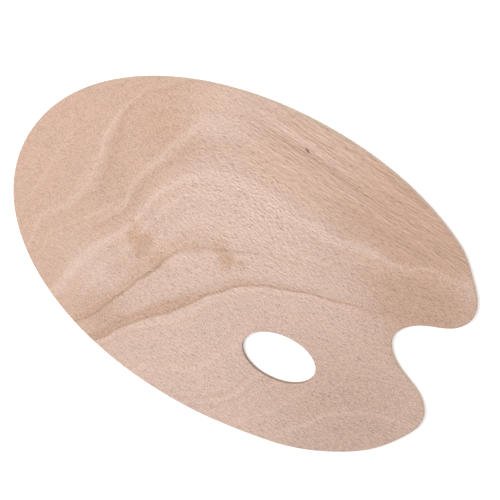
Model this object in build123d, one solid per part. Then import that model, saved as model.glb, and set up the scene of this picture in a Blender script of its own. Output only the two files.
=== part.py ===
from build123d import *
import os
from math import cos, radians, sin

# An oval artist's palette, sawn from one sheet of three-ply wood and lying flat, painting face up.
# It is five layers: a face veneer, a core veneer with its grain across, a back veneer, and the two
# films of glue that hold them. A thumb hole goes through all five, and a finger notch is cut into
# one end. +X runs along the oval towards the notch, and +Z out of the painting face. The origin is
# the middle of the underside. All sizes are in millimetres.

# The oval, before its notch end is cut back: overall about 305 long and 228 wide.
OVAL_HALF_LENGTH = 162.5
OVAL_HALF_WIDTH = 114.0
OVAL_POWER = 2.045  # 2 is a true ellipse, and a little more fills out its shoulders

# The sheet
SHEET_THICKNESS = 3.0
GLUE_THICKNESS = 0.05
CORE_THICKNESS = 1.4
VENEER_THICKNESS = (SHEET_THICKNESS - CORE_THICKNESS) / 2 - GLUE_THICKNESS
ARRIS_RADIUS = 0.35  # the sharp corners of both faces are sanded off

# The thumb hole, an ellipse set towards the lower lobe. Places are measured from the oval's centre.
THUMB_HOLE_LENGTH = 50.0
THUMB_HOLE_WIDTH = 33.0
THUMB_HOLE_CENTRE = (43.5, -47.5)
THUMB_HOLE_TURN = 5.0  # degrees

# The finger notch: a round bottom between two lobes, the upper one shorter than the lower.
NOTCH_CENTRE = (117.5, 7.0)
NOTCH_RADIUS = 17.5
NOTCH_BOTTOM_ANGLES = (115, 180, 245)
UPPER_JOIN_ANGLE = 38.5  # where the oval ends and the upper lobe begins, in degrees from +X
LOWER_JOIN_ANGLE = 292.0
UPPER_LOBE = [
    (126.0, 69.0),  # shoulder
    (134.5, 57.8),
    (137.5, 47.0),  # tip
    (131.8, 34.8),  # the edge turns into the notch
]
LOWER_LOBE = [
    (134.0, -22.6),  # the edge comes out of the notch
    (142.3, -36.5),  # tip
    (137.0, -54.3),
    (124.3, -72.9),  # shoulder
    (103.4, -89.7),
    (77.9, -102.3),
]
OVAL_STEPS = 20  # spans of the curve that follows the oval's formula


def oval_point(degrees):
    """The oval's edge in a direction from its centre, from |x/a|^n + |y/b|^n = 1."""
    across = abs(cos(radians(degrees)) / OVAL_HALF_LENGTH) ** OVAL_POWER
    up = abs(sin(radians(degrees)) / OVAL_HALF_WIDTH) ** OVAL_POWER
    reach = (across + up) ** (-1 / OVAL_POWER)
    return (reach * cos(radians(degrees)), reach * sin(radians(degrees)))


def oval_points():
    """Along the oval, anticlockwise from the upper lobe round to the lower one."""
    span = (LOWER_JOIN_ANGLE - UPPER_JOIN_ANGLE) / OVAL_STEPS
    return [oval_point(UPPER_JOIN_ANGLE + span * step) for step in range(OVAL_STEPS + 1)]


def notch_bottom_points():
    arc = [(cos(radians(angle)), sin(radians(angle))) for angle in NOTCH_BOTTOM_ANGLES]
    return [(NOTCH_CENTRE[0] + NOTCH_RADIUS * x, NOTCH_CENTRE[1] + NOTCH_RADIUS * y) for x, y in arc]


def sawn_outline():
    """The sheet's flat shape with its thumb hole, centred on the origin."""
    lobes = reversed([*UPPER_LOBE, *notch_bottom_points(), *LOWER_LOBE])
    outline = make_face(Spline(*oval_points(), *lobes, periodic=True))
    thumb_hole = Ellipse(THUMB_HOLE_LENGTH / 2, THUMB_HOLE_WIDTH / 2)
    outline -= Pos(*THUMB_HOLE_CENTRE) * Rot(0, 0, THUMB_HOLE_TURN) * thumb_hole
    middle = outline.bounding_box().center()
    return Pos(-middle.X, -middle.Y) * outline


def layer(outline, bottom, thickness):
    return Pos(0, 0, bottom) * extrude(outline, thickness)


def face_veneer(outline):
    veneer = layer(outline, SHEET_THICKNESS - VENEER_THICKNESS, VENEER_THICKNESS)
    return fillet(veneer.edges().group_by(Axis.Z)[-1], ARRIS_RADIUS)


def face_glue_line(outline):
    return layer(outline, VENEER_THICKNESS + GLUE_THICKNESS + CORE_THICKNESS, GLUE_THICKNESS)


def core_veneer(outline):
    return layer(outline, VENEER_THICKNESS + GLUE_THICKNESS, CORE_THICKNESS)


def back_glue_line(outline):
    return layer(outline, VENEER_THICKNESS, GLUE_THICKNESS)


def back_veneer(outline):
    veneer = layer(outline, 0, VENEER_THICKNESS)
    return fillet(veneer.edges().group_by(Axis.Z)[0], ARRIS_RADIUS)


os.makedirs("parts", exist_ok=True)
sheet = sawn_outline()
for make_layer in (face_veneer, face_glue_line, core_veneer, back_glue_line, back_veneer):
    export_step(make_layer(sheet), f"parts/{make_layer.__name__}.step")
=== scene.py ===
import math

import bmesh
import bpy
import numpy as np
from mathutils import Matrix, Vector
from mathutils.geometry import delaunay_2d_cdt


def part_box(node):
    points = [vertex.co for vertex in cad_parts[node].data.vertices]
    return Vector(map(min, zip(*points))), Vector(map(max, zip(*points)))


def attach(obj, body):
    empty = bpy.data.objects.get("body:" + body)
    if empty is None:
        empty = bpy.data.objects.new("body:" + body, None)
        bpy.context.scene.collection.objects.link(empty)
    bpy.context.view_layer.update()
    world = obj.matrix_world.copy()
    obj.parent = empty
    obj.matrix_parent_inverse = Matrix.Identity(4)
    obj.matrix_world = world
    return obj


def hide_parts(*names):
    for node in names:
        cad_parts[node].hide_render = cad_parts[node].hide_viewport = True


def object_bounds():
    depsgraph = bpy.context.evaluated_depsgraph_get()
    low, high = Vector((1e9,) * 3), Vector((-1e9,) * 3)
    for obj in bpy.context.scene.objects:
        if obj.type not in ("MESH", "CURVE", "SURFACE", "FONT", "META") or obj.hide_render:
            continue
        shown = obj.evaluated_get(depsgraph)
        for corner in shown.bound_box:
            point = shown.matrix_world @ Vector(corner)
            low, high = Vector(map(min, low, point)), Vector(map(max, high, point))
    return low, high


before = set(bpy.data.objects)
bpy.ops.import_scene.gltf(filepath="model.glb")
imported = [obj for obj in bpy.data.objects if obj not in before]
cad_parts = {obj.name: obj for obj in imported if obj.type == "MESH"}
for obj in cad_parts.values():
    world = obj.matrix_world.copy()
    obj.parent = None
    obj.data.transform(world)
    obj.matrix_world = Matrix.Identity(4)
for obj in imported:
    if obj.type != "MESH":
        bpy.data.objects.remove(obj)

# The mixing palette: a thin plywood oval with a thumb hole and a finger notch.
# Lengths in the code are millimetres, in the row frame, unless a name says otherwise.

MM = 0.001
PER_METRE = 1000.0         # millimetres
CAD_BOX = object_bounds()

# ---------------------------------------------------------------- shape of the layers
SAME_PLACE = 1e-6          # in metres: points this close are one point, or on one level
SPAN_STEPS = 16            # steps of the smooth curve between two points of the CAD outline
LOOP_STEP = 1.0            # spacing of the points round the rim and the thumb hole
FINE_GRID = 2.0            # spacing inside a face that shows
COARSE_GRID = 12.0         # spacing inside a face that is glued to its neighbour
GRID_MARGIN = 1.1          # the grid keeps this far from the rims
GRID_JITTER = 0.12         # and is this uneven, as a share of its spacing
TRIANGLE_GAP = 1e-7        # in millimetres: points this close would be joined in a triangulation
ARRIS = 0.33               # sanded corner of the outer veneers
ARRIS_STEPS = 4
ARRIS_WANDER = 0.22        # share by which hand sanding changes the arris
ARRIS_WAVES = (2, 3, 5, 8, 13, 21)
ARRIS_INSET = 0.08 * ARRIS    # a ring that steps in by more than this belongs to the arris
SAW_RIPPLE = 0.035         # how far the cut edge wanders inwards
FIRST_SAW_WAVE = 3         # waves of that wander round the edge: the third, then every seventh
SAW_WAVE_STEP = 7
POINTS_IN_SHORTEST_WAVE = 4
CORE_RECESS = 0.05         # the end grain of the core is sanded back a little
GLUE_RECESS = 0.09
SHARP_ANGLE = math.radians(38)

# ---------------------------------------------------------------- figure of the outer veneers
# Growth lines of the face veneer: (growth level, points along the line). The last ones, of one or
# two points each, keep the level right near the far edge.
FACE_GROWTH = [
    (0.0, [(-140, -40), (-137, -5), (-131, 30), (-118, 62), (-98, 90)]),
    (1.0, [(-132, -48), (-129, -20), (-127, 10), (-120, 42), (-106, 72)]),
    (2.5, [(-123, -43), (-114, -28), (-105, -11), (-103, 1), (-105, 21), (-106, 45), (-105, 60),
           (-98, 77), (-84, 93)]),
    (4.0, [(-108, -62), (-95, -30), (-78, 0), (-72, 38), (-62, 64), (-38, 84), (-8, 97)]),
    (5.5, [(-92, -72), (-79, -34), (-66, 3), (-57, 26), (-45, 40), (-23, 49), (12, 48), (52, 46), (90, 53),
           (126, 62)]),
    (6.5, [(-77, -85), (-70, -45), (-53, 8), (-40, 28), (-20, 38), (26, 35)]),
    (8.0, [(-73, -97), (-62, -80), (-54, -61), (-47, -43), (-41, -28), (-36, -19), (-26, -8), (-4, 5),
           (42, 20), (80, 32), (122, 46)]),
    (10.0, [(-55, -100), (-38, -73), (-24, -60), (-13, -46), (-2, -28), (10, -14), (30, -3),
            (54, 6), (90, 16), (125, 28)]),
    (12.0, [(-18, -104), (0, -91), (16, -76), (23, -60), (30, -32), (60, -11), (95, -8)]),
    (13.5, [(24, -104), (37, -91), (45, -70)]),
    (15.0, [(56, -98), (67, -84), (76, -64), (105, -34), (138, -30)]),
    (16.5, [(82, -90), (98, -68), (112, -56), (130, -48)]),
    (3.25, [(-88, 42), (-80, 70)]),
    (3.3, [(0, 111)]),
    (3.4, [(55, 104)]),
    (3.8, [(110, 86)]),
    (3.9, [(25, 98)]),
    (4.7, [(15, 76), (60, 72)]),
    (4.6, [(120, 74)]),
]
# The back veneer is a plainer leaf: long arches that open towards the end away from the notch.
BACK_GROWTH = [
    (0.0, [(-150, 70), (-60, 84), (40, 92), (120, 80)]),
    (2.0, [(-140, 44), (-50, 58), (50, 64), (140, 46)]),
    (4.0, [(-150, 16), (-40, 32), (60, 36), (150, 14)]),
    (6.0, [(-150, -2), (-90, 5), (-20, 12), (40, 8), (-10, -10), (-90, -14), (-150, -14)]),
    (6.4, [(-150, -8), (-90, -5), (-40, -1)]),
    (4.0, [(-150, -34), (-30, -32), (60, -24), (150, -12)]),
    (2.0, [(-120, -66), (-30, -58), (60, -54), (140, -46)]),
    (0.0, [(-100, -92), (-20, -86), (70, -84), (120, -74)]),
]
GROWTH_SMOOTHING = 2.0
# How unsteady the growth levels are: (noise cells in a millimetre, depth in levels)
SLOW_WANDER = (0.05, 0.55)
QUICK_WANDER = (0.28, 0.06)

# Lines and bands that stand out along the growth lines:
# (level, half width in levels, lift in brightness, lift in warmth, x, y and reach of where it shows).
# Brightness 0 and warmth 0 are PALE_WOOD, and warmth 1 is TAN_WOOD.
FACE_LINES = [
    (0.6, 0.20, 0.020, -0.10, -130, 0, 60),
    (2.45, 0.20, 0.056, -0.25, -114, -8, 66),
    (2.42, 0.07, 0.030, -0.20, -100, 60, 45),
    (2.85, 0.16, -0.035, 0.25, -100, 45, 60),
    (3.60, 0.07, 0.035, -0.30, -100, -36, 30),
    (4.0, 0.18, 0.045, -0.35, -68, 35, 52),
    (4.45, 0.25, -0.025, 0.25, -66, 25, 60),
    (5.5, 0.24, 0.058, -0.50, -20, 20, 140),
    (5.9, 0.80, 0.034, -0.30, 112, 58, 46),
    (6.4, 0.16, 0.032, -0.30, -50, 0, 75),
    (7.2, 0.12, 0.020, -0.20, 0, 20, 55),
    (7.75, 0.25, -0.020, 0.45, -50, -50, 60),
    (8.0, 0.07, -0.145, 1.20, -60, -66, 50),
    (8.0, 0.08, -0.045, 0.40, -20, -10, 40),
    (9.70, 0.26, -0.050, 1.00, -42, -75, 45),
    (9.80, 0.18, -0.020, 0.40, 10, -15, 60),
    (9.99, 0.07, -0.130, 1.60, -10, -40, 95),
    (10.22, 0.13, 0.050, -0.45, -15, -40, 85),
    (12.0, 0.12, 0.042, -0.10, 5, -88, 48),
    (13.3, 0.09, -0.030, 0.25, 36, -90, 34),
    (13.55, 0.08, 0.032, -0.20, 36, -90, 34),
    (13.8, 0.08, -0.028, 0.25, 36, -90, 34),
    (15.0, 0.10, 0.022, -0.20, 70, -80, 36),
    (16.5, 0.12, 0.040, -0.35, 104, -64, 42),
]
BACK_LINES = [
    (0.7, 0.18, -0.040, 0.30, -20, 0, 200),
    (1.5, 0.22, 0.030, -0.25, 0, 0, 200),
    (2.6, 0.10, -0.060, 0.35, -40, 0, 200),
    (3.5, 0.25, 0.035, -0.25, -20, 0, 200),
    (4.4, 0.12, -0.055, 0.35, 0, 0, 200),
    (5.4, 0.22, 0.030, -0.20, -40, 0, 200),
]
# A line fades out between these shares of its reach, down to a faint rest.
FADE_START = 0.70
FADE_END = 1.35
FADE_REST = 0.12
# Broad tones, the darker ones beside the thumb hole and at the right end partly painted shade: (x, y,
# reach, lift in brightness, lift in warmth)
FACE_TONES_AND_SHADE = [
    (-12, 15, 100, 0.035, 0.00),
    # Darker beside the thumb hole: partly painted shade, partly the wood's own tone.
    (22, -28, 55, -0.035, 0.00),
    (-84, 10, 32, -0.040, 0.00),
    (-5, 75, 45, 0.010, 0.35),
    # Darker towards the right end, in the next three: partly painted shade, partly the wood's own tone.
    (75, 80, 85, -0.050, 0.80),
    (120, 38, 60, -0.080, 1.00),
    (112, -58, 95, -0.115, 0.35),
    (-80, -55, 35, 0.000, -0.50),
    (-60, -82, 26, -0.080, 0.30),
    (-74, 56, 30, -0.020, 0.30),
    (-38, -16, 18, 0.045, 0.00),
    (-58, 100, 28, 0.050, 0.00),
]
BACK_TONES = [
    (-90, 30, 90, -0.040, 0.50),
    (60, -40, 100, -0.060, 0.70),
]
# Stains: (x, y, radius, strength)
FACE_STAINS = [
    (-59, -19, 10.0, 0.75),
    (-55, -26, 8.0, 0.60),
    (-44, -26, 7.0, 0.45),
    (-65, -44, 8.0, 0.25),
    (-12, 3, 7.5, 0.60),
    (-4, -3, 7.5, 0.75),
    (4, -1, 5.5, 0.50),
]
BACK_STAINS = [
    (38, 52, 8.0, 0.60),
    (-84, -30, 6.0, 0.45),
]
STAIN_CELLS = 0.16         # noise cells in a millimetre, for the ragged outline of a stain
STAIN_RAGGED = 2.8         # in radii
STAIN_END = 1.3            # where a stain has faded out, in radii
# The short dark split near the upper edge: x, y, half length, half width, turn
FACE_TICK = (8.2, 94.2, 3.0, 1.05, math.radians(-28))
TICK_CORE = 0.35           # share of its size that is fully dark
TICK_DARKNESS = 0.9

# ---------------------------------------------------------------- fibres and fine grain
FIBRE_SLOPE = 0.105        # the fibres fall this much along the length
SWIRL_DEPTH = 5.0          # and dip round the bend of the growth lines
SWIRL_CENTRE = (-3, 55)
SWIRL_SIZE = (31, 28)
STREAK_X = (-55, 0)        # long streaks set in between these places,
STREAK_LEVEL = 5.6         # where the growth level is below this
STREAK_FADE = (0.3, 1.3)   # by the first number to begin and by the second to show fully
PLAIN_CONTRAST = 0.56      # strength of the fine grain at the left end
RIGHT_CONTRAST = 0.20      # added towards the right,
RIGHT_X = (-100, -40)      # rising between these places
MIDDLE_CONTRAST = 0.20     # added in the middle of the face
MIDDLE_CENTRE = (2, 45)
MIDDLE_SIZE = (58, 55)
BACK_STREAK = 0.75
BACK_CONTRAST = 0.75

RAGGED = (3.0, 0.6)        # detail and roughness of an uneven noise
GRAIN_MOVE = (3.1, 1.7)    # how far a seed moves the noise of the grain and of the pores, in cells
PORE_MOVE = (2.3, 4.9)

# Noise cells in a millimetre: across the three axes, or along, across and down through the fibres.
GRANULE_CELLS = (1.75, 1.75, 0.9)
DASH_CELLS = (0.45, 1.20, 0.9)
STREAK_CELLS = (0.12, 1.20, 0.9)
PATCH_CELLS = (0.035, 0.05, 0.05)
PORE_CELLS = (0.34, 2.3, 1.2)
CLOUD_CELLS = (0.014, 0.045, 0.04)
RUN_CELLS = (0.011, 0.16, 0.1)
BAND_CELLS = 1.3           # in a growth level
RING_CELLS = 7.0
FIBRE_GAP = 1.3            # distance between neighbouring light and dark fibres, in noise cells
RELIEF_SHARE = 0.52        # depth of that relief beside the granules'
DASH_CONTRAST = 2.4        # dashes take over from granules where the contrast is high,
DASH_PATCH = 1.2           # in patches,
DASH_RANGE = (2.1, 3.0)    # between these sums of both,
DASH_LIMITS = (0.10, 0.72)    # from the first share to the second
LONG_SHARE = 0.62          # share of long streaks where they show fully
PORE_RANGE = (0.58, 0.72)
FIGURE_DEPTH = 2.20        # brightness of the fine grain
PORE_DEPTH = 0.36          # and of the pores

# Shares of each kind of figure in the wood's brightness and in its warmth
BRIGHT_SHARES = {"band": 0.08, "ring": 0.07, "cloud": 0.12, "run": 0.40}
WARM_SHARES = {"band": 0.5, "cloud": 0.5, "run": -1.2, "fine": -0.10}
STREAK_WARMTH = 0.35
LEFT_X = (-90.0, -20.0)    # the left end is warmer than the rest
LEFT_WARMTH = (0.70, 0.05)
SHEET_MIDDLE = 1.5
ARRIS_DARKNESS = 0.16      # how much darker the sanded corner is
ARRIS_RANGE = (1.25, 1.48)    # heights from the middle of the sheet: all of it, none of it

# ---------------------------------------------------------------- surface
WOOD_SPECULAR = 0.25
WOOD_ROUGHNESS = 0.74
PORE_ROUGHNESS = 0.10
GRAIN_ROUGHNESS = -0.20
PORE_DROP = -0.8           # height of a pore beside the grain's
WOOD_BUMP = (0.00012, 0.5)    # distance in metres, and strength; the same in the next two
EDGE_BUMP = (0.00015, 0.6)
GLUE_BUMP = (0.0001, 0.5)
EDGE_SPECULAR = 0.20
EDGE_ROUGHNESS = 0.90
EDGE_GRAIN_ROUGHNESS = -0.15
EDGE_DETAIL = (4.0, 0.65)  # detail and roughness of the noise
EDGE_RANGE = (0.3, 0.7)
EDGE_CELLS_X = (0.25, 2.6, 3.4)    # grain along the oval
EDGE_CELLS_Y = (2.6, 0.25, 3.4)    # grain across it
SCORCH_CELLS = 0.06
GLUE_SPECULAR = 0.35
GLUE_CELLS = 0.7
GLUE_COLOUR_RANGE = (0.35, 0.65)
GLUE_ROUGH_RANGE = (0.3, 0.7)
GLUE_ROUGHNESS = (0.45, 0.70)
FLOOR_SPECULAR = 0.1
FLOOR_ROUGHNESS = 0.9
FLOOR_HALF = 6.0           # in metres

# ---------------------------------------------------------------- colours, linear
PALE_WOOD = (0.456, 0.331, 0.273)
TAN_WOOD = (0.415, 0.270, 0.200)
STAIN_WOOD = (0.370, 0.232, 0.158)
TICK_WOOD = (0.160, 0.070, 0.055)
EDGE_PALE = (0.600, 0.475, 0.385)
EDGE_DARK = (0.440, 0.325, 0.250)
CORE_PALE = (0.570, 0.440, 0.345)
CORE_DARK = (0.400, 0.285, 0.210)
GLUE_PALE = (0.190, 0.110, 0.065)
GLUE_DARK = (0.100, 0.055, 0.032)
# Painted shade on the wall of the thumb hole: a dark brown it is mixed towards.
HOLE_SHADE_WOOD = (0.150, 0.095, 0.070)
HOLE_CENTRE = (53.5, -47.5)    # the wall of the thumb hole is darker than the outer edge: painted shade
HOLE_REACH = 30.0
HOLE_FADE = 1.2
HOLE_DARKNESS = 0.65
FLOOR_WHITE = (0.90, 0.90, 0.90)

# ---------------------------------------------------------------- camera and light
FILM_WIDTH = 36.0
LENS = 216.0
CAMERA_TARGET = (5.36, 12.21, 2.85)
CAMERA_DISTANCE = 1880.3
CAMERA_AZIMUTH = 176.33
CAMERA_ELEVATION = 59.30
CAMERA_ROLL = 148.0
CAMERA_END = 100.0         # in metres
WORLD_STRENGTH = 0.90
# Lamps: places and sizes in metres, power in watts
KEY_PLACE = (-0.60, -0.10, 0.85)
KEY_SIZE = 0.9
KEY_POWER = 8.0
FILL_PLACE = (0.30, 1.40, 1.00)
FILL_SIZE = 1.2
FILL_POWER = 9.0


# ================================================================ small helpers
def smoothstep(value, low, high):
    """0 up to low, 1 from high on, smooth between."""
    share = np.clip((value - low) / (high - low), 0, 1)
    return share * share * (3 - 2 * share)


def ripple(count, waves, seed):
    """A smooth closed wander between about -1 and 1 for count points round a loop."""
    random = np.random.default_rng(seed)
    turn = np.arange(count) / count * 2 * math.pi
    total = np.zeros(count)
    for wave in waves:
        total += np.sin(wave * turn + random.uniform(0, 2 * math.pi)) * random.uniform(0.6, 1.0)
    return total / (0.8 * len(waves)) ** 0.5 / 2


# ================================================================ loops of the CAD outline
def rim_edges(mesh):
    """The edges of the mesh's top face, as pairs of points."""
    work = bmesh.new()
    work.from_mesh(mesh)
    bmesh.ops.remove_doubles(work, verts=work.verts, dist=SAME_PLACE)
    work.verts.index_update()
    top = max(v.co.z for v in work.verts)

    def level(item):
        return all(abs(v.co.z - top) < SAME_PLACE for v in item.verts)

    rim = []
    for edge in work.edges:
        if level(edge) and sum(level(face) for face in edge.link_faces) == 1:
            rim.append([v.index for v in edge.verts])
    points = np.array([v.co for v in work.verts], float)[:, :2] / MM
    work.free()
    return points, rim


def cad_loops(node):
    """The outline and the thumb hole, longest first, each with the wood on its left."""
    points, rim = rim_edges(node.data)
    beside = {}
    for a, b in rim:
        beside.setdefault(a, []).append(b)
        beside.setdefault(b, []).append(a)
    loops = []
    left = set(beside)
    while left:
        start = min(left)
        loop = [start]
        left.discard(start)
        while True:
            onward = [n for n in beside[loop[-1]] if n in left]
            if not onward:
                break
            loop.append(onward[0])
            left.discard(onward[0])
        loops.append(points[loop])
    loops.sort(key=lambda loop: -np.ptp(loop[:, 0]))
    for place, loop in enumerate(loops):
        ahead = np.roll(loop, -1, 0)
        area = np.sum(loop[:, 0] * ahead[:, 1] - ahead[:, 0] * loop[:, 1])
        if (area > 0) != (place == 0):
            loops[place] = loop[::-1]
    return loops


def resampled(loop, step):
    """Even points on a smooth closed curve through the loop's points."""
    ahead = np.roll(loop, -1, 0) - loop
    span = np.linalg.norm(ahead, axis=1)[:, None]
    slope = ahead / span
    before_slope = np.roll(slope, 1, 0)
    before_span = np.roll(span, 1, 0)
    tangent = (slope * before_span + before_slope * span) / (span + before_span)
    t = np.linspace(0, 1, SPAN_STEPS, endpoint=False)[None, :, None]
    p0, p1 = loop[:, None], np.roll(loop, -1, 0)[:, None]
    m0 = (tangent * span)[:, None]
    m1 = (np.roll(tangent, -1, 0) * span)[:, None]
    fine = (
        (2 * t**3 - 3 * t**2 + 1) * p0 + (t**3 - 2 * t**2 + t) * m0
        + (3 * t**2 - 2 * t**3) * p1 + (t**3 - t**2) * m1
    ).reshape(-1, 2)
    closed = np.vstack([fine, fine[:1]])
    run = np.r_[0, np.cumsum(np.linalg.norm(np.diff(closed, axis=0), axis=1))]
    even = np.linspace(0, run[-1], round(run[-1] / step), endpoint=False)
    return np.stack([np.interp(even, run, closed[:, k]) for k in range(2)], 1)


def inward(loop):
    """The unit direction into the wood at each point of a loop."""
    along = np.roll(loop, -2, 0) - np.roll(loop, 2, 0)
    along /= np.linalg.norm(along, axis=1)[:, None]
    return np.stack([-along[:, 1], along[:, 0]], 1)


# ================================================================ flat grid inside the loops
def inside(points, loop):
    """True for the points inside a closed loop."""
    result = np.zeros(len(points), bool)
    x, y = points[:, 0], points[:, 1]
    for (x0, y0), (x1, y1) in zip(loop, np.roll(loop, -1, 0)):
        if y0 == y1:
            continue
        crosses = (y0 > y) != (y1 > y)
        result ^= crosses & (x < (x1 - x0) * (y - y0) / (y1 - y0) + x0)
    return result


def grid_points(loops, step, seed):
    """A slightly uneven triangular grid inside the outline and outside the hole."""
    random = np.random.default_rng(seed)
    low, high = loops[0].min(0), loops[0].max(0)
    rows = np.arange(low[1], high[1], step * math.sqrt(3) / 2)
    points = []
    for number, y in enumerate(rows):
        x = np.arange(low[0] + step / 2 * (number % 2), high[0], step)
        points.append(np.stack([x, np.full(len(x), y)], 1))
    points = np.vstack(points)
    points += random.uniform(-GRID_JITTER, GRID_JITTER, points.shape) * step
    keep = inside(points, loops[0] + inward(loops[0]) * GRID_MARGIN)
    keep &= ~inside(points, loops[1] + inward(loops[1]) * GRID_MARGIN)
    return points[keep]


def triangulated(loops, step, seed):
    """The grid's own points, and triangles that number the loops' points first."""
    grid = grid_points(loops, step, seed)
    points = np.vstack([*loops, grid])
    edges = []
    start = 0
    for loop in loops:
        count = len(loop)
        edges += [(start + i, start + (i + 1) % count) for i in range(count)]
        start += count
    made = delaunay_2d_cdt([Vector(p) for p in points], edges, [], 0, TRIANGLE_GAP)
    source = [origin[0] for origin in made[3]]
    faces = np.array([[source[i] for i in face] for face in made[2]])
    middle = points[faces].mean(1)
    keep = inside(middle, loops[0]) & ~inside(middle, loops[1])
    faces = faces[keep]
    a, b, c = (points[faces[:, k]] for k in range(3))
    area = (b[:, 0] - a[:, 0]) * (c[:, 1] - a[:, 1]) - (b[:, 1] - a[:, 1]) * (c[:, 0] - a[:, 0])
    faces[area < 0] = faces[area < 0][:, ::-1]
    return grid, faces


# ================================================================ layers
def layer_mesh(name, loops, rings, bottom, top):
    """A closed sheet. rings is a list of (height, inset of each loop's points) from below upwards.
    bottom and top are (grid points, triangles) of the two faces. Material 0 is for the faces and the
    arris, 1 for the sawn wall."""
    sizes = [len(loop) for loop in loops]
    rim_count = sum(sizes)
    normals = [inward(loop) for loop in loops]
    points = []
    for height, insets in rings:
        for loop, normal, inset in zip(loops, normals, insets):
            flat = loop + normal * np.asarray(inset)[..., None]
            points.append(np.column_stack([flat, np.full(len(flat), height)]))
    faces = []
    material = []
    for ring in range(len(rings) - 1):
        start = ring * rim_count
        for size in sizes:
            for i in range(size):
                j = (i + 1) % size
                faces.append((start + i, start + j, start + j + rim_count, start + i + rim_count))
            start += size
        sloped = np.max(np.abs(rings[ring][1][0] - rings[ring + 1][1][0])) > ARRIS_INSET
        material += [0 if sloped else 1] * rim_count
    for (grid, triangles), ring, order in ((bottom, 0, -1), (top, len(rings) - 1, 1)):
        grid_start = sum(len(p) for p in points)
        points.append(np.column_stack([grid, np.full(len(grid), rings[ring][0])]))
        shifted = np.where(
            triangles < rim_count, triangles + ring * rim_count, triangles - rim_count + grid_start
        )
        faces += [tuple(face) for face in shifted[:, ::order].tolist()]
        material += [0] * len(shifted)
    mesh = bpy.data.meshes.new(name)
    mesh.from_pydata((np.vstack(points) * MM).tolist(), [], faces)
    mesh.polygons.foreach_set("material_index", material)
    mesh.polygons.foreach_set("use_smooth", [True] * len(faces))
    mesh.set_sharp_from_angle(angle=SHARP_ANGLE)
    mesh.validate()
    mesh.update()
    piece = bpy.data.objects.new(name, mesh)
    bpy.context.scene.collection.objects.link(piece)
    return piece


def saw_wander(loops, depth, seed):
    """How far inwards the cut edge wanders at each point of each loop."""
    wander = []
    for number, loop in enumerate(loops):
        waves = range(FIRST_SAW_WAVE, len(loop) // POINTS_IN_SHORTEST_WAVE, SAW_WAVE_STEP)
        wander.append(depth * (0.5 + 0.5 * np.clip(ripple(len(loop), waves, seed + number), -1, 1)))
    return wander


def wall_rings(loops, low, high, recess, seed):
    """Three rings for a plain layer whose edge is set back by recess."""
    rings = []
    for step in range(3):
        wander = saw_wander(loops, SAW_RIPPLE, seed + 10 * step)
        rings.append((low + (high - low) * step / 2, [recess + w for w in wander]))
    return rings


def veneer_rings(loops, low, high, rounded_top, seed):
    """Rings of an outer veneer, from its glued side to its sanded arris, always from below up."""
    wander = saw_wander(loops, SAW_RIPPLE, seed)
    radii = []
    for number, loop in enumerate(loops):
        change = ripple(len(loop), ARRIS_WAVES, seed + 5 + number)
        radii.append(ARRIS * (1 + ARRIS_WANDER * np.clip(change, -1, 1)))
    tallest = ARRIS * (1 + ARRIS_WANDER)
    glued, outer = (low, high) if rounded_top else (high, low)
    away = 1 if rounded_top else -1
    rings = [(glued, wander)]
    rings.append(((glued + outer - away * tallest) / 2, wander))
    for step in range(ARRIS_STEPS + 1):
        angle = math.pi / 2 * step / ARRIS_STEPS
        height = outer - away * tallest * (1 - math.sin(angle))
        insets = [w + r * (1 - math.cos(angle)) for w, r in zip(wander, radii)]
        rings.append((height, insets))
    return rings if rounded_top else rings[::-1]


# ================================================================ figure fields
def growth_field(lines):
    """A thin plate through the growth lines; returns the function that gives its level."""
    points = np.array([p for level, line in lines for p in line], float)
    levels = np.array([level for level, line in lines for p in line], float)
    count = len(points)

    def bending(there):
        gap = np.linalg.norm(there[:, None] - points[None], axis=2)
        return np.where(gap > 0, gap**2 * np.log(np.maximum(gap, 1e-9)), 0)

    plane = np.column_stack([np.ones(count), points])
    system = np.block([
        [bending(points) + GROWTH_SMOOTHING * np.eye(count), plane],
        [plane.T, np.zeros((3, 3))],
    ])
    weights = np.linalg.solve(system, np.r_[levels, 0, 0, 0])

    def level_at(there):
        return bending(there) @ weights[:count] + weights[count] + there @ weights[count + 1:]

    return level_at


def fibre_across(there):
    """The distance across the fibres: they run where this stays the same."""
    x, y = there[:, 0], there[:, 1]
    far = ((x - SWIRL_CENTRE[0]) / SWIRL_SIZE[0]) ** 2 + ((y - SWIRL_CENTRE[1]) / SWIRL_SIZE[1]) ** 2
    return y + FIBRE_SLOPE * x - SWIRL_DEPTH * np.exp(-far)


def face_streak(there, growth):
    """1 where the fibres show as long streaks, 0 where they are cut across."""
    return smoothstep(there[:, 0], *STREAK_X) * smoothstep(STREAK_LEVEL - growth, *STREAK_FADE)


def face_contrast(there):
    """How strongly the fine figure shows."""
    x, y = there[:, 0], there[:, 1]
    middle = np.exp(
        -((x - MIDDLE_CENTRE[0]) / MIDDLE_SIZE[0]) ** 2 - ((y - MIDDLE_CENTRE[1]) / MIDDLE_SIZE[1]) ** 2
    )
    return PLAIN_CONTRAST + RIGHT_CONTRAST * smoothstep(x, *RIGHT_X) + MIDDLE_CONTRAST * middle


def back_streak(there, growth):
    return np.full(len(there), BACK_STREAK)


def back_contrast(there):
    return np.full(len(there), BACK_CONTRAST)


def set_attribute(mesh, name, kind, values):
    """Stores one value, or one vector, for each vertex."""
    made = mesh.attributes.new(name, kind, "POINT")
    key = "vector" if kind == "FLOAT_VECTOR" else "value"
    made.data.foreach_set(key, np.ascontiguousarray(values, np.float32).ravel())


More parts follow.
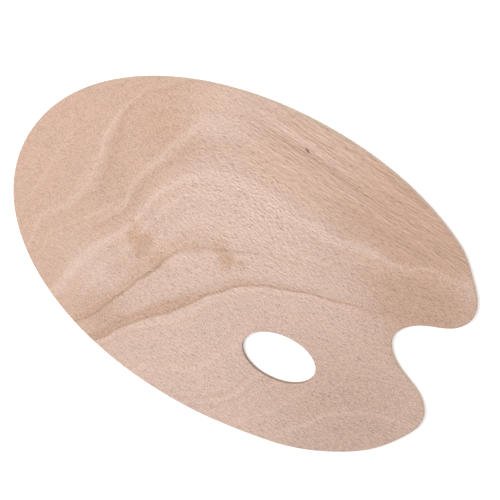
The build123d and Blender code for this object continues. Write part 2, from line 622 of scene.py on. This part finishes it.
def add_figure(piece, growth_at, streak_at, contrast_at):
    """Stores the wood's own coordinates on a veneer."""
    count = len(piece.data.vertices)
    co = np.zeros(count * 3)
    piece.data.vertices.foreach_get("co", co)
    co = co.reshape(-1, 3) / MM
    there = co[:, :2]
    growth = growth_at(there)
    fibre = np.column_stack([there[:, 0], fibre_across(there), co[:, 2]])
    set_attribute(piece.data, "growth", "FLOAT", growth)
    set_attribute(piece.data, "fibre", "FLOAT_VECTOR", fibre)
    set_attribute(piece.data, "streak", "FLOAT", streak_at(there, growth))
    set_attribute(piece.data, "contrast", "FLOAT", contrast_at(there))


# ================================================================ shader helpers
def plug(tree, socket, value):
    """Links an output to the socket, or sets the socket to a number, vector or colour."""
    if isinstance(value, bpy.types.NodeSocket):
        tree.links.new(value, socket)
    elif isinstance(value, tuple) and len(value) == 3 and len(socket.default_value) == 4:
        socket.default_value = (*value, 1)
    else:
        socket.default_value = value


def calc(tree, operation, *terms):
    made = tree.nodes.new("ShaderNodeMath")
    made.operation = operation
    for socket, term in zip(made.inputs, terms):
        plug(tree, socket, term)
    return made.outputs[0]


def vector_calc(tree, operation, *terms):
    made = tree.nodes.new("ShaderNodeVectorMath")
    made.operation = operation
    for socket, term in zip(made.inputs, terms):
        plug(tree, socket, term)
    return made.outputs["Value" if operation in ("DISTANCE", "DOT_PRODUCT") else "Vector"]


def attribute(tree, name, output="Fac"):
    made = tree.nodes.new("ShaderNodeAttribute")
    made.attribute_name = name
    return made.outputs[output]


def noise(tree, vector, scale=1.0, detail=2.0, roughness=0.5):
    """Noise from 0 to 1 about 0.5."""
    made = tree.nodes.new("ShaderNodeTexNoise")
    plug(tree, made.inputs["Vector"], vector)
    made.inputs["Scale"].default_value = scale
    made.inputs["Detail"].default_value = detail
    made.inputs["Roughness"].default_value = roughness
    return made.outputs[0]


def line_noise(tree, value, scale, detail):
    """Noise along one number."""
    made = tree.nodes.new("ShaderNodeTexNoise")
    made.noise_dimensions = "1D"
    plug(tree, made.inputs["W"], value)
    made.inputs["Scale"].default_value = scale
    made.inputs["Detail"].default_value = detail
    return made.outputs[0]


def stretched(tree, vector, factors, offset=(0.0, 0.0, 0.0)):
    """The vector times factors, plus offset."""
    return vector_calc(tree, "ADD", vector_calc(tree, "MULTIPLY", vector, factors), offset)


def about_zero(tree, value):
    """Noise about 0 from noise about 0.5."""
    return calc(tree, "SUBTRACT", value, 0.5)


def ramp(tree, value, low, high, to_low=0.0, to_high=1.0):
    """A smooth step from to_low at low to to_high at high."""
    made = tree.nodes.new("ShaderNodeMapRange")
    made.interpolation_type = "SMOOTHSTEP"
    for name, term in zip(("Value", "From Min", "From Max", "To Min", "To Max"),
                          (value, low, high, to_low, to_high)):
        plug(tree, made.inputs[name], term)
    return made.outputs[0]


def mix_colour(tree, share, first, second):
    made = tree.nodes.new("ShaderNodeMix")
    made.data_type = "RGBA"
    made.clamp_factor = True
    plug(tree, made.inputs[0], share)
    plug(tree, made.inputs[6], first)
    plug(tree, made.inputs[7], second)
    return made.outputs[2]


def mix_value(tree, share, first, second):
    made = tree.nodes.new("ShaderNodeMix")
    made.data_type = "FLOAT"
    made.clamp_factor = True
    plug(tree, made.inputs[0], share)
    plug(tree, made.inputs[2], first)
    plug(tree, made.inputs[3], second)
    return made.outputs[0]


def millimetres(tree):
    """The point on the piece, in millimetres."""
    made = tree.nodes.new("ShaderNodeTexCoord")
    return stretched(tree, made.outputs["Object"], (PER_METRE, PER_METRE, PER_METRE))


def new_material(name, specular):
    """A material with one Principled shader, its tree and that shader."""
    material = bpy.data.materials.new(name)
    material.use_nodes = True
    tree = material.node_tree
    shader = next(n for n in tree.nodes if n.type == "BSDF_PRINCIPLED")
    shader.inputs["Specular IOR Level"].default_value = specular
    return material, tree, shader


def separate(tree, point):
    """The x, y and z of a point."""
    made = tree.nodes.new("ShaderNodeSeparateXYZ")
    tree.links.new(point, made.inputs[0])
    return made.outputs


def add_bump(tree, shader, height, distance, strength):
    made = tree.nodes.new("ShaderNodeBump")
    made.inputs["Distance"].default_value = distance
    made.inputs["Strength"].default_value = strength
    plug(tree, made.inputs["Height"], height)
    tree.links.new(made.outputs["Normal"], shader.inputs["Normal"])


# ================================================================ materials
def warped_growth(tree, point, seed):
    """The growth level, made a little unsteady as in real wood."""
    level = attribute(tree, "growth")
    for (cells, depth), move in ((SLOW_WANDER, (seed, 0.0, 0.0)), (QUICK_WANDER, (0.0, seed, 0.0))):
        wander = about_zero(tree, noise(tree, stretched(tree, point, (cells, cells, cells), move)))
        level = calc(tree, "MULTIPLY_ADD", wander, depth, level)
    return level


def flat_distance(tree, point, x, y):
    """The distance from (x, y), seen from above."""
    flat = vector_calc(tree, "MULTIPLY", point, (1.0, 1.0, 0.0))
    return vector_calc(tree, "DISTANCE", flat, (float(x), float(y), 0.0))


def line_mask(tree, growth, level, width):
    """1 on a growth line, falling to 0 each side."""
    away = calc(tree, "DIVIDE", calc(tree, "SUBTRACT", growth, level), width)
    return calc(tree, "EXPONENT", calc(tree, "MULTIPLY", calc(tree, "MULTIPLY", away, away), -1.0))


def growth_lines(tree, point, growth, lines):
    """The summed brightness and warmth of all growth lines."""
    bright, warm = 0.0, 0.0
    for level, width, lift, warmth, x, y, reach in lines:
        mask = line_mask(tree, growth, level, width)
        near = ramp(tree, flat_distance(tree, point, x, y), FADE_START * reach, FADE_END * reach,
                    1.0, FADE_REST)
        mask = calc(tree, "MULTIPLY", mask, near)
        bright = calc(tree, "MULTIPLY_ADD", mask, lift, bright)
        warm = calc(tree, "MULTIPLY_ADD", mask, warmth, warm)
    return bright, warm


def stain_mask(tree, point, stains):
    """Blotches with uneven outlines."""
    wobble = about_zero(tree, noise(tree, point, STAIN_CELLS, *RAGGED))
    total = 0.0
    for x, y, radius, strength in stains:
        far = calc(tree, "DIVIDE", flat_distance(tree, point, x, y), radius)
        uneven = calc(tree, "MULTIPLY_ADD", wobble, STAIN_RAGGED, far)
        total = calc(tree, "MAXIMUM", total, ramp(tree, uneven, 0.0, STAIN_END, strength, 0.0))
    return total


def fibre_relief(tree, fibre, cells, move):
    """Neighbouring light and dark fibres about 0: a noise less the same noise one fibre away."""
    here = stretched(tree, fibre, cells, move)
    beside = stretched(tree, fibre, cells, (move[0], move[1] + FIBRE_GAP, move[2]))
    relief = calc(tree, "SUBTRACT", noise(tree, here, detail=1.0), noise(tree, beside, detail=1.0))
    return calc(tree, "MULTIPLY", relief, RELIEF_SHARE)


def fine_figure(tree, point, fibre, seed):
    """Grain about 0: granules where the leaf cuts across the fibres, streaks where it runs along."""
    move = (seed * GRAIN_MOVE[0], seed * GRAIN_MOVE[1], 0.0)
    granule = about_zero(tree, noise(tree, stretched(tree, point, GRANULE_CELLS, move)))
    dash = fibre_relief(tree, fibre, DASH_CELLS, move)
    streak = fibre_relief(tree, fibre, STREAK_CELLS, move)
    patch = calc(tree, "MULTIPLY", noise(tree, stretched(tree, point, PATCH_CELLS, move)), DASH_PATCH)
    dash_sum = calc(tree, "MULTIPLY_ADD", attribute(tree, "contrast"), DASH_CONTRAST, patch)
    mixed = mix_value(tree, ramp(tree, dash_sum, *DASH_RANGE, *DASH_LIMITS), granule, dash)
    long_share = calc(tree, "MULTIPLY", attribute(tree, "streak"), LONG_SHARE)
    return mix_value(tree, long_share, mixed, streak)


def pores(tree, fibre, seed):
    """Open pores: short dark dashes along the fibres, 0 to 1."""
    move = (seed * PORE_MOVE[0], seed * PORE_MOVE[1], 0.0)
    field = noise(tree, stretched(tree, fibre, PORE_CELLS, move), detail=1.0)
    return ramp(tree, field, *PORE_RANGE)


def figure_parts(tree, point, growth, fibre, seed):
    """The kinds of figure in the wood, each about 0: growth bands and rings, clouds, runs that follow
    the long streaks, and the fine grain."""
    run = about_zero(tree, noise(tree, stretched(tree, fibre, RUN_CELLS)))
    return {
        "band": about_zero(tree, line_noise(tree, growth, BAND_CELLS, 3.0)),
        "ring": about_zero(tree, line_noise(tree, growth, RING_CELLS, 2.0)),
        "cloud": about_zero(tree, noise(tree, stretched(tree, fibre, CLOUD_CELLS), detail=3.0)),
        "run": calc(tree, "MULTIPLY", run, attribute(tree, "streak")),
        "fine": fine_figure(tree, point, fibre, seed),
    }


def with_shares(tree, total, parts, shares):
    """The total, with each part added by its share."""
    for name, share in shares.items():
        total = calc(tree, "MULTIPLY_ADD", parts[name], share, total)
    return total


def arris_shade(tree, z):
    """The change of brightness on the sanded corner."""
    from_middle = calc(tree, "ABSOLUTE", calc(tree, "SUBTRACT", z, SHEET_MIDDLE))
    return ramp(tree, from_middle, *ARRIS_RANGE, -ARRIS_DARKNESS, 0.0)


def with_tones(tree, point, bright, warm, tones):
    """Brightness and warmth with the broad tones added; on the face some of them are partly painted shade.
    """
    for x, y, reach, lift, warmth in tones:
        near = ramp(tree, flat_distance(tree, point, x, y), 0.0, reach, 1.0, 0.0)
        bright = calc(tree, "MULTIPLY_ADD", near, lift, bright)
        warm = calc(tree, "MULTIPLY_ADD", near, warmth, warm)
    return bright, warm


def veneer_material(name, lines, tones, stains, seed, tick):
    """The wood of an outer veneer. seed moves its noise, and tick is its dark split or None."""
    material, tree, shader = new_material(name, WOOD_SPECULAR)
    point = millimetres(tree)
    x, _, z = separate(tree, point)
    fibre = attribute(tree, "fibre", "Vector")
    growth = warped_growth(tree, point, seed)
    parts = figure_parts(tree, point, growth, fibre, seed)
    fine = parts["fine"]
    pore = pores(tree, fibre, seed)
    bright, warm = growth_lines(tree, point, growth, lines)

    bright = calc(tree, "ADD", bright, arris_shade(tree, z))
    bright = with_shares(tree, bright, parts, BRIGHT_SHARES)
    detail = calc(tree, "MULTIPLY_ADD", fine, FIGURE_DEPTH, calc(tree, "MULTIPLY", pore, -PORE_DEPTH))
    bright = calc(tree, "MULTIPLY_ADD", detail, attribute(tree, "contrast"), bright)
    warm = with_shares(tree, warm, parts, WARM_SHARES)
    warm = calc(tree, "MULTIPLY_ADD", attribute(tree, "streak"), STREAK_WARMTH, warm)
    warm = calc(tree, "ADD", warm, ramp(tree, x, *LEFT_X, *LEFT_WARMTH))
    bright, warm = with_tones(tree, point, bright, warm, tones)

    colour = mix_colour(tree, warm, PALE_WOOD, TAN_WOOD)
    colour = mix_colour(tree, stain_mask(tree, point, stains), colour, STAIN_WOOD)
    if tick:
        colour = mix_colour(tree, tick_mask(tree, point, *tick), colour, TICK_WOOD)
    colour = vector_calc(tree, "SCALE", colour)
    plug(tree, colour.node.inputs["Scale"], calc(tree, "ADD", bright, 1.0))
    tree.links.new(colour, shader.inputs["Base Color"])
    rough = calc(tree, "MULTIPLY_ADD", pore, PORE_ROUGHNESS, WOOD_ROUGHNESS)
    rough = calc(tree, "MULTIPLY_ADD", fine, GRAIN_ROUGHNESS, rough)
    tree.links.new(rough, shader.inputs["Roughness"])
    add_bump(tree, shader, calc(tree, "MULTIPLY_ADD", pore, PORE_DROP, fine), *WOOD_BUMP)
    return material


def tick_mask(tree, point, x, y, length, width, turn):
    """A short dark split, 0 to TICK_DARKNESS. length and width are half the split's."""
    gap = vector_calc(tree, "SUBTRACT", point, (float(x), float(y), 0.0))
    along = (math.cos(turn) / length, math.sin(turn) / length, 0.0)
    across = (-math.sin(turn) / width, math.cos(turn) / width, 0.0)
    parts = [vector_calc(tree, "DOT_PRODUCT", gap, axis) for axis in (along, across)]
    far = calc(tree, "SQRT", calc(tree, "ADD", *[calc(tree, "MULTIPLY", p, p) for p in parts]))
    return ramp(tree, far, TICK_CORE, 1.0, TICK_DARKNESS, 0.0)


def edge_material(name, pale, dark, cells, seed):
    """The sawn edge of a layer. cells are the grain's, fewest along the fibres."""
    material, tree, shader = new_material(name, EDGE_SPECULAR)
    point = millimetres(tree)
    grain = noise(tree, stretched(tree, point, cells, (seed, seed, seed)), 1.0, *EDGE_DETAIL)
    scorch = about_zero(tree, noise(tree, point, SCORCH_CELLS, *RAGGED))
    share = calc(tree, "ADD", ramp(tree, grain, *EDGE_RANGE), scorch)
    # Painted shade: walls within reach of the thumb hole's middle are mixed towards a dark brown.
    hole_shade = ramp(tree, flat_distance(tree, point, *HOLE_CENTRE), HOLE_REACH, HOLE_FADE * HOLE_REACH,
                   HOLE_DARKNESS, 0.0)
    colour = mix_colour(tree, hole_shade, mix_colour(tree, share, dark, pale), HOLE_SHADE_WOOD)
    tree.links.new(colour, shader.inputs["Base Color"])
    rough = calc(tree, "MULTIPLY_ADD", grain, EDGE_GRAIN_ROUGHNESS, EDGE_ROUGHNESS)
    tree.links.new(rough, shader.inputs["Roughness"])
    add_bump(tree, shader, grain, *EDGE_BUMP)
    return material


def glue_material():
    """The cured resin of a glue line."""
    material, tree, shader = new_material("glue_line", GLUE_SPECULAR)
    bead = noise(tree, millimetres(tree), GLUE_CELLS, *RAGGED)
    tree.links.new(mix_colour(tree, ramp(tree, bead, *GLUE_COLOUR_RANGE), GLUE_DARK, GLUE_PALE),
                   shader.inputs["Base Color"])
    tree.links.new(ramp(tree, bead, *GLUE_ROUGH_RANGE, *GLUE_ROUGHNESS), shader.inputs["Roughness"])
    add_bump(tree, shader, bead, *GLUE_BUMP)
    return material


def floor_material():
    material, tree, shader = new_material("floor", FLOOR_SPECULAR)
    shader.inputs["Base Color"].default_value = (*FLOOR_WHITE, 1)
    shader.inputs["Roughness"].default_value = FLOOR_ROUGHNESS
    return material


# ================================================================ the pieces
def heights(node):
    """The lowest and the highest point of a CAD node, in millimetres."""
    low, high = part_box(node)
    return low.z / MM, high.z / MM


def dress(piece, node, slot, *materials):
    """Gives a piece its materials and its body, and hides the CAD node it stands for. slot is not used."""
    for material in materials:
        piece.data.materials.append(material)
    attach(piece, "root")
    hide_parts(node)


def make_palette():
    """The five layers, each on the CAD outline. The numbers that end the calls are seeds."""
    loops = [resampled(loop, LOOP_STEP) for loop in cad_loops(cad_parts["core_veneer"])]
    coarse = triangulated(loops, COARSE_GRID, 1)
    face_grid = triangulated(loops, FINE_GRID, 2)
    back_grid = triangulated(loops, FINE_GRID, 3)

    low, high = heights("face_veneer")
    face = layer_mesh("face_leaf", loops, veneer_rings(loops, low, high, True, 11), coarse, face_grid)
    add_figure(face, growth_field(FACE_GROWTH), face_streak, face_contrast)
    dress(face, "face_veneer", "face_veneer",
          veneer_material("face_veneer", FACE_LINES, FACE_TONES_AND_SHADE, FACE_STAINS, 3.0, FACE_TICK),
          edge_material("face_edge", EDGE_PALE, EDGE_DARK, EDGE_CELLS_X, 2.0))

    low, high = heights("back_veneer")
    back = layer_mesh("back_leaf", loops, veneer_rings(loops, low, high, False, 31), back_grid, coarse)
    add_figure(back, growth_field(BACK_GROWTH), back_streak, back_contrast)
    dress(back, "back_veneer", "back_veneer",
          veneer_material("back_veneer", BACK_LINES, BACK_TONES, BACK_STAINS, 8.0, None),
          edge_material("back_edge", EDGE_PALE, EDGE_DARK, EDGE_CELLS_X, 5.0))

    low, high = heights("core_veneer")
    core = layer_mesh("core_leaf", loops, wall_rings(loops, low, high, CORE_RECESS, 51), coarse, coarse)
    core_edge = edge_material("core_edge", CORE_PALE, CORE_DARK, EDGE_CELLS_Y, 9.0)
    dress(core, "core_veneer", "core_veneer", core_edge, core_edge)

    glue = glue_material()
    for node, seed in (("face_glue_line", 71), ("back_glue_line", 91)):
        low, high = heights(node)
        line = layer_mesh(node + "_film", loops, wall_rings(loops, low, high, GLUE_RECESS, seed),
                          coarse, coarse)
        dress(line, node, "glue", glue, glue)


# ================================================================ stage, light, camera
def make_floor():
    """A plain floor at the palette's underside."""
    mesh = bpy.data.meshes.new("floor")
    half, level = FLOOR_HALF, CAD_BOX[0][2]
    corners = [(-half, -half, level), (half, -half, level), (half, half, level), (-half, half, level)]
    mesh.from_pydata(corners, [], [(0, 1, 2, 3)])
    floor = bpy.data.objects.new("floor", mesh)
    bpy.context.scene.collection.objects.link(floor)
    mesh.materials.append(floor_material())


def add_softbox(name, place, size, power):
    """A large round lamp that faces the palette. Its place is in metres."""
    data = bpy.data.lights.new(name, "AREA")
    data.shape = "DISK"
    data.size = size
    data.energy = power
    lamp = bpy.data.objects.new(name, data)
    bpy.context.scene.collection.objects.link(lamp)
    lamp.location = place
    lamp.rotation_euler = (-Vector(place)).to_track_quat("-Z", "Y").to_euler()


def make_light():
    """An even white surround and two softboxes."""
    scene = bpy.context.scene
    scene.world = bpy.data.worlds.new("studio")
    scene.world.use_nodes = True
    ground = scene.world.node_tree.nodes["Background"]
    ground.inputs["Color"].default_value = (1, 1, 1, 1)
    ground.inputs["Strength"].default_value = WORLD_STRENGTH
    add_softbox("key", KEY_PLACE, KEY_SIZE, KEY_POWER)
    add_softbox("fill", FILL_PLACE, FILL_SIZE, FILL_POWER)
    scene.view_settings.view_transform = "Standard"
    scene.view_settings.look = "None"
    scene.view_settings.exposure = 0
    scene.view_settings.gamma = 1


def make_camera():
    """A long lens from the photograph's side. The palette lies turned in its picture, hence the roll."""
    azimuth = math.radians(CAMERA_AZIMUTH)
    elevation = math.radians(CAMERA_ELEVATION)
    roll = math.radians(CAMERA_ROLL)
    back = Vector((math.sin(azimuth) * math.cos(elevation), -math.cos(azimuth) * math.cos(elevation),
                   math.sin(elevation)))
    level_right = Vector((math.cos(azimuth), math.sin(azimuth), 0))
    level_up = back.cross(level_right)
    up = level_up * math.cos(roll) + level_right * math.sin(roll)
    right = up.cross(back)
    data = bpy.data.cameras.new("camera")
    data.sensor_width = FILM_WIDTH
    data.lens = LENS
    data.clip_end = CAMERA_END
    camera = bpy.data.objects.new("camera", data)
    bpy.context.scene.collection.objects.link(camera)
    turned = Matrix((right, up, back)).transposed().to_4x4()
    turned.translation = (Vector(CAMERA_TARGET) + back * CAMERA_DISTANCE) * MM
    camera.matrix_world = turned
    bpy.context.scene.camera = camera


make_palette()
make_floor()
make_light()
make_camera()
